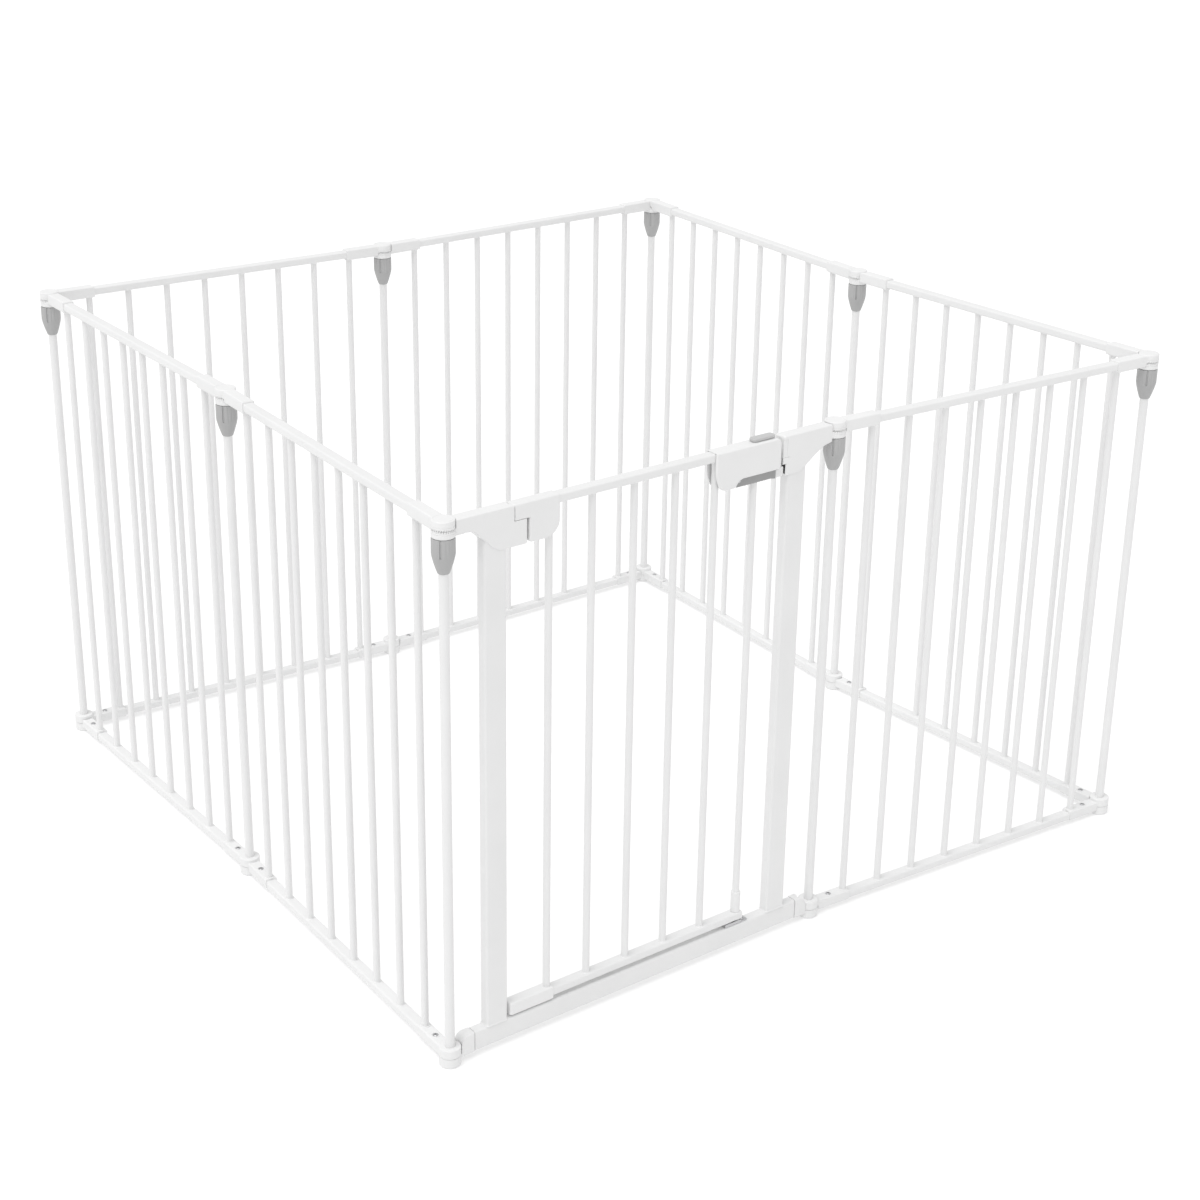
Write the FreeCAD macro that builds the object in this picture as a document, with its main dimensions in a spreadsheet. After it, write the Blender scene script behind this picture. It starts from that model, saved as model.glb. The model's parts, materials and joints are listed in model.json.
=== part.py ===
import FreeCAD, Part
import math
import os
import re
import Sketcher

# An eight-panel folding playpen: one gate panel and seven barred panels, hinged on eight round posts.
# Millimetres, +Z up. The origin is on the floor, under the middle of the pen.
# Each panel is drawn in a frame of its own: +X runs from its first post axis to its second,
# +Y points into the pen. The panels are numbered anticlockwise from above, and the gate is panel 1.
# Odd panels carry the posts and own the lower hub of each hinge stack, even panels the upper hub.

SIZES = {
    # lay-out
    "panel_pitch": 600.0,  # post axis to post axis of a barred panel
    "gate_pitch": 640.0,  # post axis to post axis of the gate panel
    "fold_rest": 4.1,  # degrees that the even panels are turned back from the square shape
    # hinge stacks, measured from the plane where the two hubs meet
    "stack_low": 15.0,
    "stack_high": 757.6,
    "hub_radius": 15.0,
    "hub_gap": 0.2,
    "foot_hub_open": 13.0,
    "foot_hub_closed": 15.0,
    "top_hub_open": 10.6,
    "top_hub_closed": 12.4,
    "hub_rim": 2.0,
    "hub_rim_radius": 12.5,
    "arm_clear_radius": 16.5,
    "neck_reach": 20.0,
    "arm_half": 9.0,
    "foot_arm_under": 8.0,
    "foot_arm_over": 8.0,
    "top_arm_under": 11.9,
    "top_arm_over": 5.6,
    "arm_reach": 72.5,
    "post_radius": 6.5,
    "post_inner": 5.2,
    "post_seat": 4.0,
    "post_head": 8.0,
    "running_fit": 0.05,
    "open_pivot_fit": 0.3,
    # rails and bars
    "rail_half": 8.0,
    "foot_rail_under": 7.0,
    "foot_rail_over": 5.0,
    "top_rail_under": 9.4,
    "top_rail_over": 2.6,
    "rail_wall": 1.0,
    "rail_start": 24.0,
    "bar_radius": 5.0,
    "bar_inner": 4.1,
    "bar_first": 65.5,
    "bar_pitch": 67.0,
    # screws
    "screw_at": 38.0,
    "screw_radius": 2.0,
    "screw_head_radius": 4.0,
    "screw_head": 2.2,
    "screw_depth": 9.0,
    "screw_slot": 1.2,
    # lock collars
    "collar_length": 46.6,
    "collar_taper": 26.0,
    "collar_radius": 15.0,
    "collar_tip_radius": 7.8,
    "collar_bore": 6.6,
    "collar_clear": 0.4,
    "slot_length": 24.0,
    "slot_half": 0.9,
    "slot_depth": 1.4,
    # gate frame
    "sill_base": 9.0,
    "sill_top": 39.0,
    "sill_start": 35.0,
    "plug_reach": 50.0,
    "gate_wall": 1.5,
    "jamb_start": 54.5,
    "jamb_end": 88.0,
    "latch_jamb_start": 549.0,
    "latch_jamb_end": 582.5,
    "jamb_top": 752.0,
    # door hinge
    "hinge_x": 109.0,
    "bracket_half": 9.5,
    "bracket_base": 713.5,
    "bracket_arm_base": 750.5,
    "bracket_top": 768.0,
    "knuckle_split": 746.5,
    "knuckle_gap": 0.4,
    "knuckle_radius": 12.2,
    "knuckle_clear": 14.0,
    "knuckle_reach": 13.0,
    "hinge_pin_radius": 4.0,
    "cover_half": 9.0,
    "cover_end": 169.0,
    "cover_corner": 14.0,
    "shoe_start": 92.0,
    "shoe_end": 164.5,
    "shoe_base": 40.6,
    "shoe_top": 60.5,
    # door frame
    "door_rail_low": 45.5,
    "door_rail_high": 57.5,
    "door_top_low": 755.0,
    "door_top_high": 767.0,
    "door_bar_first": 157.5,
    "door_bar_pitch": 67.5,
    "door_top_start": 130.0,
    "door_top_end": 505.0,
    "door_foot_start": 116.0,
    "door_foot_end": 503.0,
    "last_bar": 495.0,
    "foot_pin_radius": 4.5,
    "foot_pin_base": 41.4,
    "sleeve_radius": 6.75,
    "sleeve_top": 90.0,
    # latch
    "housing_half": 11.5,
    "housing_wall": 2.0,
    "pin_inset": 0.7,
    "housing_start": 420.5,
    "housing_end": 534.0,
    "housing_top": 768.0,
    "housing_base": 724.0,
    "lobe_end": 456.0,
    "lobe_base": 713.5,
    "chamber_start": 456.3,
    "chamber_end": 532.0,
    "chamber_top": 747.0,
    "lever_pivot_x": 461.0,
    "lever_pivot_z": 722.0,
    "lever_half": 8.0,
    "lever_end": 528.0,
    "lever_base": 712.5,
    "lever_top": 727.0,
    "lever_boss": 3.9,
    "spring_at": 480.0,
    "hook_end": 543.0,
    "hook_half": 6.0,
    "hook_base": 711.0,
    "hook_top": 725.0,
    "button_start": 488.0,
    "button_end": 527.0,
    "button_half": 6.5,
    "button_rise": 5.0,
    "button_stem_start": 514.0,
    "button_stem_end": 521.0,
    "button_travel": 8.0,
    # catch
    "catch_start": 539.0,
    "catch_base": 711.5,
    "catch_pocket": 549.0,
    # sill stop
    "stop_start": 472.0,
    "stop_end": 515.0,
    "stop_thickness": 1.2,
    "stop_lip_at": 7.0,
    "stop_screw_x": 508.5,
}

PANEL_COUNT = 8
BAR_COUNT = 8
DOOR_BAR_COUNT = 6
WORD = re.compile(r"[A-Za-z_]+")
PLACE = {"x": "Placement.Base.x", "y": "Placement.Base.y", "z": "Placement.Base.z"}

os.makedirs("parts", exist_ok=True)
doc = FreeCAD.newDocument("Playpen")
sheet = doc.addObject("Spreadsheet::Sheet", "Sizes")
for row, (alias, number) in enumerate(SIZES.items(), start=1):
    sheet.set(f"A{row}", alias)
    sheet.set(f"B{row}", str(number))
    sheet.setAlias(f"B{row}", alias)
doc.recompute()

nodes = []


# ---- formulas ---------------------------------------------------------------------------------

def in_sheet(formula):
    """Turn a formula in plain size names into one that reads the sheet's cells."""
    return WORD.sub(lambda word: "Sizes." + word.group(), str(formula))


def measure(formula):
    """Work out a formula of size names and numbers joined by plus, minus and times signs."""
    total = 0.0
    for sign, term in re.findall(r"([+-]?)\s*([\w.*]+)", str(formula)):
        product = -1.0 if sign == "-" else 1.0
        for factor in term.split("*"):
            product *= SIZES[factor] if factor in SIZES else float(factor)
        total += product
    return total


def bind(item, **formulas):
    """Bind properties of an object, or its x, y and z, to formulas."""
    for name, formula in formulas.items():
        item.setExpression(PLACE.get(name, name), in_sheet(formula))
    return item


# ---- primitives and booleans ------------------------------------------------------------------

def box(name, x, y, z):
    """A block between a low and a high formula on each axis."""
    item = doc.addObject("Part::Box", name)
    spans = {"Length": x, "Width": y, "Height": z}
    for side, (low, high) in spans.items():
        bind(item, **{side: f"({high}) - ({low})"})
    return bind(item, x=x[0], y=y[0], z=z[0])


def rod(name, radius, z, x="0", y="0"):
    """An upright cylinder."""
    item = doc.addObject("Part::Cylinder", name)
    return bind(item, Radius=radius, Height=f"({z[1]}) - ({z[0]})", x=x, y=y, z=z[0])


def cross_rod(name, radius, x, y, z):
    """A cylinder along Y between two formulas."""
    item = doc.addObject("Part::Cylinder", name)
    item.Placement.Rotation = FreeCAD.Rotation(FreeCAD.Vector(1, 0, 0), -90)
    return bind(item, Radius=radius, Height=f"({y[1]}) - ({y[0]})", x=x, y=y[0], z=z)


def cone(name, low_radius, high_radius, z, x="0"):
    """An upright cone frustum."""
    item = doc.addObject("Part::Cone", name)
    return bind(item, Radius1=low_radius, Radius2=high_radius, Height=f"({z[1]}) - ({z[0]})", x=x, z=z[0])


def cut(name, base, *tools):
    """Take one or more tools away from a base."""
    item = doc.addObject("Part::Cut", name)
    item.Base = base
    item.Tool = tools[0] if len(tools) == 1 else fuse(name + "_tools", *tools)
    return item


def fuse(name, *pieces):
    """Join pieces into one solid."""
    item = doc.addObject("Part::MultiFuse", name)
    item.Shapes = list(pieces)
    item.Refine = True
    return item


def tube(name, outer, inner, z, x="0", y="0"):
    """An upright round tube."""
    return cut(name, rod(name + "_outer", outer, z, x, y), rod(name + "_inner", inner, z, x, y))


def square_tube(name, x, half, z, wall):
    """A rectangular tube along X, with tools left to the caller."""
    outer = box(name + "_outer", x, (f"-{half}", half), z)
    inner = box(name + "_inner", x, (f"{wall} - {half}", f"{half} - {wall}"), (f"{z[0]} + {wall}", f"{z[1]} - {wall}"))
    return outer, inner


def turned(item, axis, degrees):
    """Turn an object about an axis of its own frame, keeping its bound position."""
    item.Placement.Rotation = FreeCAD.Rotation(axis, degrees)
    return item


def node(name, placement, *pieces):
    """A named sub-part: one piece, or a group of separate ones, put in its panel's place."""
    item = doc.addObject("Part::Compound", name)
    item.Label = name
    item.Links = list(pieces)
    item.Placement = placement
    nodes.append(item)
    return item


# ---- sketched pieces --------------------------------------------------------------------------

def outline_sketch(body, name, corners):
    """A closed outline in the body's XZ plane, each corner bound to a pair of formulas."""
    plane = next(item for item in body.Origin.OriginFeatures if item.Role == "XZ_Plane")
    sketch = body.newObject("Sketcher::SketchObject", name)
    sketch.AttachmentSupport = (plane, "")
    sketch.MapMode = "FlatFace"
    points = [FreeCAD.Vector(measure(x), measure(z), 0) for x, z in corners]
    count = len(points)
    for index in range(count):
        sketch.addGeometry(Part.LineSegment(points[index], points[(index + 1) % count]), False)
    for index, (x, z) in enumerate(corners):
        add_constraint(sketch, ("Coincident", index, 2, (index + 1) % count, 1))
        add_constraint(sketch, ("DistanceX", -1, 1, index, 1, measure(x)), x)
        add_constraint(sketch, ("DistanceY", -1, 1, index, 1, measure(z)), z)
    return sketch


def add_constraint(sketch, parts, formula=None):
    """Add a constraint, and bind it to a formula if one is given."""
    index = sketch.addConstraint(Sketcher.Constraint(*parts))
    if formula is not None:
        sketch.setExpression(f"Constraints[{index}]", in_sheet(formula))


def plate(name, corners, half, side=0, rounded=()):
    """Pad an outline to both sides of the XZ plane, or with side -1 or 1 to its front or back only."""
    body = doc.addObject("PartDesign::Body", name)
    pad = body.newObject("PartDesign::Pad", name + "_pad")
    pad.Profile = outline_sketch(body, name + "_outline", corners)
    pad.Midplane = side == 0
    pad.Reversed = side == 1
    bind(pad, Length=f"2 * {half}" if side == 0 else half)
    body.Tip = pad
    doc.recompute()
    for number, (x, z, radius) in enumerate(rounded):
        fillet = body.newObject("PartDesign::Fillet", f"{name}_round_{number}")
        fillet.Base = (pad, [edge_at(pad.Shape, measure(x), measure(z))])
        bind(fillet, Radius=radius)
        body.Tip = fillet
        doc.recompute()
        pad = fillet
    return body


def edge_at(shape, x, z):
    """Name the edge along Y that stands at x, z."""
    for number, edge in enumerate(shape.Edges, start=1):
        ends = [vertex.Point for vertex in edge.Vertexes]
        if len(ends) == 2 and all(abs(end.x - x) < 0.01 and abs(end.z - z) < 0.01 for end in ends):
            return f"Edge{number}"
    raise ValueError(f"no edge at {x}, {z}")


# ---- lay-out of the pen -----------------------------------------------------------------------

def lay_out():
    """Give each panel's placement, so that odd and even panels each close a loop of their own."""
    lean = math.degrees(math.asin((SIZES["gate_pitch"] - SIZES["panel_pitch"]) / (2 * SIZES["panel_pitch"])))
    headings = []
    for side, odd_turn in enumerate((0.0, lean, 0.0, -lean)):
        headings.append(90.0 * side + odd_turn)
        headings.append(90.0 * side - SIZES["fold_rest"])
    posts = [FreeCAD.Vector(0, 0, 0)]
    for number, heading in enumerate(headings):
        reach = SIZES["gate_pitch"] if number == 0 else SIZES["panel_pitch"]
        angle = math.radians(heading)
        posts.append(posts[-1] + FreeCAD.Vector(reach * math.cos(angle), reach * math.sin(angle), 0))
    middle = FreeCAD.Vector((posts[0].x + posts[4].x) / 2, (posts[2].y + posts[6].y) / 2, 0)
    up = FreeCAD.Vector(0, 0, 1)
    placements = []
    for post, heading in zip(posts, headings):
        placements.append(FreeCAD.Placement(post - middle, FreeCAD.Rotation(up, heading)))
    return placements, [post - middle for post in posts[:PANEL_COUNT]]


# ---- hinge ends, screws, posts and collars ----------------------------------------------------

def hub_blank(name, closed, tier):
    """The hub of a hinge end, about its post axis: closed below the split plane or open above it."""
    if not closed:
        return rod(name + "_hub", "hub_radius", ("hub_gap", f"{tier}_hub_open"))
    end = f"{tier}_hub_closed"
    barrel = rod(name + "_barrel", "hub_radius", (f"hub_rim - {end}", "-hub_gap"))
    rim = cone(name + "_rim", "hub_rim_radius", "hub_radius", (f"-{end}", f"hub_rim - {end}"))
    return fuse(name + "_hub", barrel, rim)


def post_hole(name, closed, fit, tier):
    """The tool that bores a hub for its post."""
    if closed:
        return rod(name + "_bore", f"post_radius + {fit}", (f"post_seat - {tier}_hub_closed", "0"))
    return rod(name + "_bore", f"post_radius + {fit}", ("-hub_gap", f"{tier}_hub_closed"))


def arm_clearance(name):
    """The tool that clears the other panel's hub out of an arm."""
    return rod(name + "_clearance", "arm_clear_radius",
               ("-foot_hub_closed - foot_hub_open", "foot_hub_closed + foot_hub_open"))


def hinge_end(name, closed, fit, tier):
    """A moulded hinge end about its post axis, with the screw side up: hub, neck and rail socket."""
    side = ("-arm_half", "arm_half")
    under, over, rail_top = f"-{tier}_arm_under", f"{tier}_arm_over", f"{tier}_rail_over"
    arm = cut(name + "_arm", box(name + "_block", ("0", "arm_reach"), side, (under, over)), arm_clearance(name))
    neck_z = (under, "-hub_gap") if closed else ("hub_gap", over)
    neck = box(name + "_neck", ("0", "neck_reach"), side, neck_z)
    blank = fuse(name + "_blank", hub_blank(name, closed, tier), neck, arm)
    socket = box(name + "_socket", ("rail_start", "arm_reach + 1"), ("-rail_half", "rail_half"),
                 (f"-{tier}_rail_under", rail_top))
    bar_hole = rod(name + "_bar_hole", "bar_radius", (rail_top, f"{over} + 1"), "bar_first")
    screw_hole = rod(name + "_screw_hole", "screw_radius", (rail_top, f"{over} + 1"), "screw_at")
    return cut(name, blank, post_hole(name, closed, fit, tier), socket, bar_hole, screw_hole)


def screw(name, x="0", y="0", z="0"):
    """A slotted pan-head screw, seated at z with its head up."""
    head = rod(name + "_head", "screw_head_radius", ("0", "screw_head"))
    shank = rod(name + "_shank", "screw_radius", ("-screw_depth", "0"))
    slot = box(name + "_slot", ("-screw_head_radius", "screw_head_radius"), ("-0.5 * screw_slot", "0.5 * screw_slot"),
               ("screw_head - screw_slot", "screw_head"))
    return bind(cut(name, fuse(name + "_body", head, shank), slot), x=x, y=y, z=z)


def seated(item, far_end, on_top, pitch):
    """Seat a hinge end, or what is drawn about its post axis, at one of a panel's four corners."""
    over = FreeCAD.Rotation(FreeCAD.Vector(1, 0, 0), 180 if on_top else 0)
    round_about = FreeCAD.Rotation(FreeCAD.Vector(0, 0, 1), 180 if far_end else 0)
    item.Placement.Rotation = round_about.multiply(over)
    return bind(item, x=pitch if far_end else "0", z="stack_high" if on_top else "stack_low")


def panel_screw(name, tier):
    """A panel's screw about its post axis, ready to be seated with its hinge end."""
    return group_of(name, screw(name + "_screw", x="screw_at", z=f"{tier}_arm_over"))


def group_of(name, *pieces):
    """Hold pieces together so that they can be placed as one."""
    item = doc.addObject("Part::Compound", name)
    item.Links = list(pieces)
    return item


def posts_of(name, pitch):
    """The two posts that an odd panel carries."""
    z = ("post_seat", "stack_high + post_head")
    return [tube(f"{name}_post_{end}", "post_radius", "post_inner", z, x) for end, x in enumerate(("0", pitch))]


def lock_collar(number, place):
    """A tapered clamp nut that turns on its post, just under the upper hinge stack."""
    name = f"lock_collar_{number}"
    body = doc.addObject("PartDesign::Body", name + "_body")
    plane = next(item for item in body.Origin.OriginFeatures if item.Role == "XZ_Plane")
    sketch = body.newObject("Sketcher::SketchObject", name + "_profile")
    sketch.AttachmentSupport = (plane, "")
    sketch.MapMode = "FlatFace"
    bore, tip, wide = SIZES["collar_bore"], SIZES["collar_tip_radius"], SIZES["collar_radius"]
    taper, length = SIZES["collar_taper"], SIZES["collar_length"]
    bulge = ((wide - tip) ** 2 + taper ** 2) / (2 * (wide - tip))
    centre = FreeCAD.Vector(wide - bulge, taper, 0)
    start = -math.asin(taper / bulge)
    corners = [FreeCAD.Vector(bore, 0, 0), FreeCAD.Vector(tip, 0, 0), FreeCAD.Vector(wide, taper, 0),
               FreeCAD.Vector(wide, length, 0), FreeCAD.Vector(bore, length, 0)]
    sketch.addGeometry(Part.LineSegment(corners[0], corners[1]), False)
    sketch.addGeometry(Part.ArcOfCircle(Part.Circle(centre, FreeCAD.Vector(0, 0, 1), bulge), start, 0.0), False)
    sketch.addGeometry(Part.LineSegment(corners[2], corners[3]), False)
    sketch.addGeometry(Part.LineSegment(corners[3], corners[4]), False)
    sketch.addGeometry(Part.LineSegment(corners[4], corners[0]), False)
    joined = ((0, 2, 1, 1), (2, 2, 3, 1), (3, 2, 4, 1), (4, 2, 0, 1))
    for ends in joined:
        add_constraint(sketch, ("Coincident", *ends))
    bound = (("DistanceX", 0, 1, "collar_bore"), ("DistanceY", 0, 1, "0"), ("DistanceX", 1, 1, "collar_tip_radius"),
             ("DistanceY", 1, 1, "0"), ("DistanceX", 2, 1, "collar_radius"), ("DistanceY", 2, 1, "collar_taper"),
             ("DistanceX", 3, 1, "collar_radius"), ("DistanceY", 3, 1, "collar_length"),
             ("DistanceX", 4, 1, "collar_bore"), ("DistanceY", 4, 1, "collar_length"))
    for kind, line, end, formula in bound:
        add_constraint(sketch, (kind, -1, 1, line, end, measure(formula)), formula)
    add_constraint(sketch, ("Tangent", 1, 2, 2, 1))
    revolution = body.newObject("PartDesign::Revolution", name + "_turned")
    revolution.Profile = sketch
    revolution.ReferenceAxis = (sketch, ["V_Axis"])
    revolution.Angle = 360
    body.Tip = revolution
    slot = box(name + "_slot", ("collar_radius - slot_depth", "collar_radius + 1"), ("-slot_half", "slot_half"),
               ("collar_length - slot_length", "collar_length"))
    height = measure("stack_high - top_hub_open - collar_clear - collar_length")
    turn = FreeCAD.Rotation(FreeCAD.Vector(0, 0, 1), 180 + SIZES["fold_rest"] * 10)
    return node(name, FreeCAD.Placement(place + FreeCAD.Vector(0, 0, height), turn), cut(name + "_nut", body, slot))


# ---- barred panel -----------------------------------------------------------------------------

def rail(name, on_top):
    """A rail with its screw holes, on the panel's lower or upper side."""
    low, high = ("stack_high - top_rail_over", "stack_high + top_rail_under") if on_top else \
        ("stack_low - foot_rail_under", "stack_low + foot_rail_over")
    outer, inner = square_tube(name, ("rail_start", "panel_pitch - rail_start"), "rail_half", (low, high), "rail_wall")
    wall = (low, f"{low} + rail_wall") if on_top else (f"{high} - rail_wall", high)
    holes = [rod(f"{name}_hole_{end}", "screw_radius", wall, x)
             for end, x in enumerate(("screw_at", "panel_pitch - screw_at"))]
    return cut(name, outer, inner, *holes)


def barred_panel(number, placement):
    """One of the seven barred panels: frame, hinge ends and screws, and posts if it is odd."""
    name = f"panel_{number}"
    odd = number % 2 == 1
    bars = [tube(f"{name}_bar_{index + 1}", "bar_radius", "bar_inner",
                 ("stack_low + foot_rail_over", "stack_high - top_rail_over"), f"bar_first + {index} * bar_pitch")
            for index in range(BAR_COUNT)]
    node(f"{name}_frame", placement, rail(name + "_lower_rail", False), rail(name + "_upper_rail", True), *bars)
    ends = {False: [], True: []}
    screws = []
    for on_top in (False, True):
        for far_end in (False, True):
            tier = "top" if on_top else "foot"
            corner = f"{name}_{tier}_{'far' if far_end else 'near'}"
            closed = odd != on_top
            fit = "0" if odd else "open_pivot_fit" if number == 4 and far_end else "running_fit"
            ends[on_top].append(seated(hinge_end(corner, closed, fit, tier), far_end, on_top, "panel_pitch"))
            screws.append(seated(panel_screw(corner + "_fixing", tier), far_end, on_top, "panel_pitch"))
    node(f"{name}_foot_hinge_ends", placement, *ends[False])
    node(f"{name}_top_hinge_ends", placement, *ends[True])
    node(f"{name}_screws", placement, *screws)
    if odd:
        node(f"{name}_posts", placement, *posts_of(name, "panel_pitch"))


# ---- gate frame -------------------------------------------------------------------------------

JAMBS = (("jamb_start", "jamb_end"), ("latch_jamb_start", "latch_jamb_end"))
BRACKET_SCREWS = ((("73", "725"), ("73", "742")), (("567", "723"), ("567", "740")))


def gate_frame(placement):
    """The U-shaped frame of three welded tubes."""
    outer, inner = square_tube("sill", ("sill_start", "gate_pitch - sill_start"), "rail_half",
                               ("sill_base", "sill_top"), "gate_wall")
    pin_hole = rod("sill_pin_hole", "hinge_pin_radius + running_fit", ("sill_top - gate_wall", "sill_top"), "hinge_x")
    stop_hole = rod("sill_stop_hole", "screw_radius", ("sill_top - gate_wall", "sill_top"), "stop_screw_x")
    tubes = [cut("sill", outer, inner, pin_hole, stop_hole)]
    for number, (low, high) in enumerate(JAMBS):
        z = ("sill_top", "jamb_top")
        outer = box(f"jamb_{number}_outer", (low, high), ("-rail_half", "rail_half"), z)
        inner = box(f"jamb_{number}_inner", (f"{low} + gate_wall", f"{high} - gate_wall"),
                    ("gate_wall - rail_half", "rail_half - gate_wall"), z)
        holes = [cross_rod(f"jamb_{number}_hole_{height}", "screw_radius", x, ("rail_half - gate_wall", "rail_half"),
                           height)
                 for x, height in BRACKET_SCREWS[number]]
        tubes.append(cut(f"jamb_{number}", outer, inner, *holes))
    node("gate_frame", placement, *tubes)


def gate_foot_end(name):
    """A gate foot about its post axis: closed hub, neck, tall arm and a plug into the sill."""
    base, top = "sill_base - stack_low", "sill_top - stack_low"
    side = ("-arm_half", "arm_half")
    arm = cut(name + "_arm", box(name + "_block", ("0", "sill_start"), side, (base, top)), arm_clearance(name))
    neck = box(name + "_neck", ("0", "neck_reach"), side, (base, "-hub_gap"))
    plug = box(name + "_plug", ("sill_start - 1", "plug_reach"), ("gate_wall - rail_half", "rail_half - gate_wall"),
               (f"{base} + gate_wall", f"{top} - gate_wall"))
    blank = fuse(name + "_blank", hub_blank(name, True, "foot"), neck, arm, plug)
    return cut(name, blank, post_hole(name, True, "0", "foot"))


def gate_hub(name):
    """The open lower hub at the top of a gate post, with its neck, about the post axis, screw side up."""
    neck = box(name + "_neck", ("0", "neck_reach"), ("-arm_half", "arm_half"), ("hub_gap", "top_arm_over"))
    return cut(name, fuse(name + "_blank", hub_blank(name, False, "top"), neck), post_hole(name, False, "0", "top"))


def standing_clearance(name, radius, z, x):
    """An upright round tool at x on the gate's centre plane."""
    return rod(name, radius, z, x)


def rounded_end(name, x, z, half):
    """The tool that rounds a knuckle's end about the door's hinge axis."""
    corner = box(name + "_corner", x, (f"-{half} - 1", f"{half} + 1"), z)
    return cut(name, corner, rod(name + "_round", "knuckle_radius", z, "hinge_x"))


def hinge_bracket(placement):
    """The moulded bracket on the hinge jamb: hub, arm, jamb cap and the fixed lower knuckle."""
    corners = (("0", "bracket_arm_base"), ("38", "bracket_arm_base - 4"), ("51", "735"),
               ("65", "721"), ("75", "bracket_base + 2"), ("89", "bracket_base"),
               ("hinge_x + knuckle_reach", "bracket_base"), ("hinge_x + knuckle_reach", "knuckle_split"),
               ("hinge_x", "knuckle_split"), ("hinge_x", "bracket_top"), ("0", "bracket_top"))
    blank = plate("hinge_bracket_blank", corners, "bracket_half",
                  rounded=(("38", "bracket_arm_base - 4", "12"), ("65", "721", "12")))
    above = ("knuckle_split", "bracket_top + 1")
    below = ("bracket_base - 1", "knuckle_split")
    arm = cut("hinge_bracket_arm", blank,
              rod("hinge_bracket_clearance", "arm_clear_radius", ("bracket_base", "bracket_top + 1")),
              rod("hinge_bracket_upper_clearance", "knuckle_clear", above, "hinge_x"),
              rounded_end("hinge_bracket_knuckle", ("hinge_x", "hinge_x + knuckle_reach + 1"), below, "bracket_half"))
    hub = seated(gate_hub("hinge_bracket_hub"), False, True, "gate_pitch")
    cavity = box("hinge_bracket_cavity", JAMBS[0], ("-rail_half", "rail_half"), ("bracket_base - 1", "jamb_top"))
    pin_hole = rod("hinge_bracket_pin_hole", "hinge_pin_radius", ("720", "knuckle_split + 1"), "hinge_x")
    screw_holes = [back_hole(f"hinge_bracket_screw_hole_{z}", x, z) for x, z in BRACKET_SCREWS[0]]
    node("gate_hinge_bracket", placement,
         cut("hinge_bracket", fuse("hinge_bracket_joined", arm, hub), cavity, pin_hole, *screw_holes))
    pin = rod("upper_pin", "hinge_pin_radius", ("720", "764"), "hinge_x")
    node("upper_hinge_pin", placement, pin)


def back_hole(name, x, z):
    """A screw hole through a bracket's back wall."""
    return cross_rod(name, "screw_radius", x, ("rail_half", "bracket_half + 1"), z)


def back_screw(name, x, z, seat):
    """A screw driven in from the inner side of the gate."""
    item = group_of(name, screw(name + "_part"))
    item.Placement.Rotation = FreeCAD.Rotation(FreeCAD.Vector(1, 0, 0), -90)
    return bind(item, x=x, y=seat, z=z)


def catch_bracket(placement):
    """The moulded bracket on the latch jamb: hub, arm, jamb cap and the pocket that takes the hook."""
    corners = (("catch_start", "catch_base"), ("569", "catch_base"), ("580", "718"), ("597", "730.3"),
               ("612", "739.5"), ("gate_pitch", "bracket_arm_base - 5.5"),
               ("gate_pitch", "bracket_top"), ("catch_start", "bracket_top"))
    blank = plate("catch_bracket_blank", corners, "bracket_half")
    arm = cut("catch_bracket_arm", blank,
              rod("catch_bracket_clearance", "arm_clear_radius", ("catch_base", "bracket_top + 1"), "gate_pitch"))
    hub = seated(gate_hub("catch_bracket_hub"), True, True, "gate_pitch")
    cavity = box("catch_bracket_cavity", JAMBS[1], ("-rail_half", "rail_half"), ("catch_base - 1", "jamb_top"))
    pocket = box("catch_bracket_pocket", ("catch_start - 1", "catch_pocket"), ("-hook_half - 1", "bracket_half + 1"),
                 ("catch_base - 1", "hook_top + 10"))
    window = box("catch_bracket_window", ("catch_start - 1", "catch_start + 5.5"), ("-bracket_half - 1", "0"),
                 ("catch_base - 1", "hook_top + 3"))
    screw_holes = [back_hole(f"catch_bracket_screw_hole_{z}", x, z) for x, z in BRACKET_SCREWS[1]]
    node("gate_catch_bracket", placement,
         cut("catch_bracket", fuse("catch_bracket_joined", arm, hub), cavity, pocket, window, *screw_holes))


def sill_stop(placement):
    """The pressed plate on the sill: its outer lip keeps the door from swinging outwards."""
    foot = box("stop_foot", ("stop_start", "stop_end"), ("-stop_lip_at", "rail_half"),
               ("sill_top", "sill_top + stop_thickness"))
    lip = box("stop_lip", ("stop_start", "stop_start + 30"), ("-stop_lip_at", "stop_thickness - stop_lip_at"),
              ("sill_top", "sill_top + 5"))
    hole = rod("stop_hole", "screw_radius", ("sill_top", "sill_top + stop_thickness"), "stop_screw_x")
    node("gate_sill_stop", placement, cut("stop_plate", fuse("stop_blank", foot, lip), hole))


def gate_panel(placement):
    """Everything of panel 1 that doesn't move with the door."""
    gate_frame(placement)
    feet = [seated(gate_foot_end(f"gate_foot_{end}"), end == "far", False, "gate_pitch") for end in ("near", "far")]
    node("gate_foot_hinge_ends", placement, *feet)
    hinge_bracket(placement)
    catch_bracket(placement)
    sill_stop(placement)
    node("gate_posts", placement, *posts_of("gate", "gate_pitch"))
    screws = [back_screw(f"gate_screw_{x}_{z}", x, z, "bracket_half")
              for x, z in BRACKET_SCREWS[0] + BRACKET_SCREWS[1]]
    screws.append(screw("sill_stop_screw", "stop_screw_x", "0", "sill_top + stop_thickness"))
    node("gate_screws", placement, *screws)


# ---- door -------------------------------------------------------------------------------------

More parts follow.
